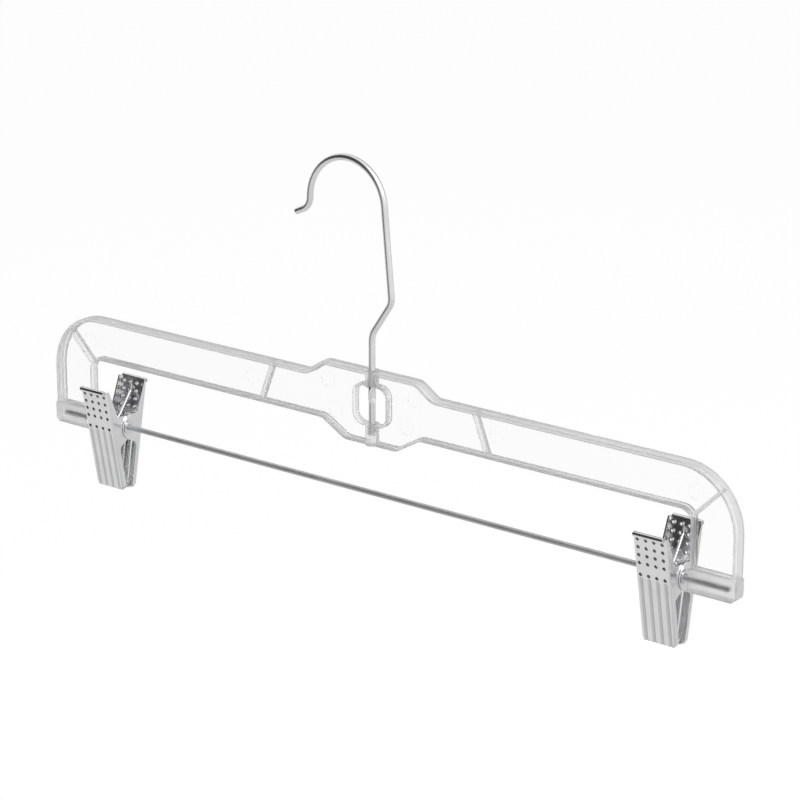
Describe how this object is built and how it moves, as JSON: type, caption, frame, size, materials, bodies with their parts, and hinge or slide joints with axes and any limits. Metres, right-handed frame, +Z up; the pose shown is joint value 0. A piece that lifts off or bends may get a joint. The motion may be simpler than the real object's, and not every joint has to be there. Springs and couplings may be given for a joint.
{
  "type": "clip hanger",
  "caption": "Clear plastic skirt and trouser hanger with a swivelling wire hook and sprung sheet-metal clips that slide and swing on a wire bar.",
  "frame": {"origin": "inside of the hook's crown, where it sits on a rail", "axes": "+X along the hanger, away from the hook's open side; +Y from the pictured front to the back; +Z up"},
  "size_m": [0.355, 0.0282, 0.1698],
  "materials": {
    "clear_plastic": "clear polystyrene, polished",
    "plated_wire": "bright plated steel wire",
    "satin_steel": "plated sheet steel, satin",
    "spring_steel": "plated spring wire",
    "plated_tube": "bright plated tube"
  },
  "bodies": {
    "hook": {"hook": "plated_wire"},
    "hanger": {"hanger_frame": "clear_plastic", "clip_bar": "plated_wire"},
    "left_clip_pivot": {"left_clip_pivot_tube": "plated_tube"},
    "left_clip_front": {"left_clip_front_jaw": "satin_steel", "left_clip_spring": "spring_steel"},
    "left_clip_rear": {"left_clip_rear_jaw": "satin_steel"},
    "right_clip_pivot": {"right_clip_pivot_tube": "plated_tube"},
    "right_clip_front": {"right_clip_front_jaw": "satin_steel", "right_clip_spring": "spring_steel"},
    "right_clip_rear": {"right_clip_rear_jaw": "satin_steel"}
  },
  "joints": [
    {"name": "hook_swivel", "type": "hinge", "parent": "hook", "child": "hanger", "pos_m": [0.0127, 0, -0.1383], "axis": [0, 0, 1], "continuous": true},
    {"name": "left_clip_slide", "type": "slide", "parent": "hanger", "child": "left_clip_pivot", "axis": [-1, 0, 0], "range_m": [-0.109, 0.0022]},
    {"name": "left_clip_swing", "type": "hinge", "parent": "left_clip_pivot", "child": "left_clip_front", "pos_m": [-0.1322, 0, -0.1383], "axis": [1, 0, 0], "range_deg": [-120, 120]},
    {"name": "left_clip_open", "type": "hinge", "parent": "left_clip_front", "child": "left_clip_rear", "pos_m": [-0.1322, 0, -0.1383], "axis": [1, 0, 0], "range_deg": [0, 40], "stiffness_Nm_per_rad": 0.08, "springref_deg": -14.32, "deforming": ["left_clip_spring"]},
    {"name": "right_clip_slide", "type": "slide", "parent": "hanger", "child": "right_clip_pivot", "axis": [1, 0, 0], "range_m": [-0.109, 0.0022]},
    {"name": "right_clip_swing", "type": "hinge", "parent": "right_clip_pivot", "child": "right_clip_front", "pos_m": [0.1576, 0, -0.1383], "axis": [1, 0, 0], "range_deg": [-120, 120]},
    {"name": "right_clip_open", "type": "hinge", "parent": "right_clip_front", "child": "right_clip_rear", "pos_m": [0.1576, 0, -0.1383], "axis": [1, 0, 0], "range_deg": [0, 40], "stiffness_Nm_per_rad": 0.08, "springref_deg": -14.32, "deforming": ["right_clip_spring"]}
  ]
}
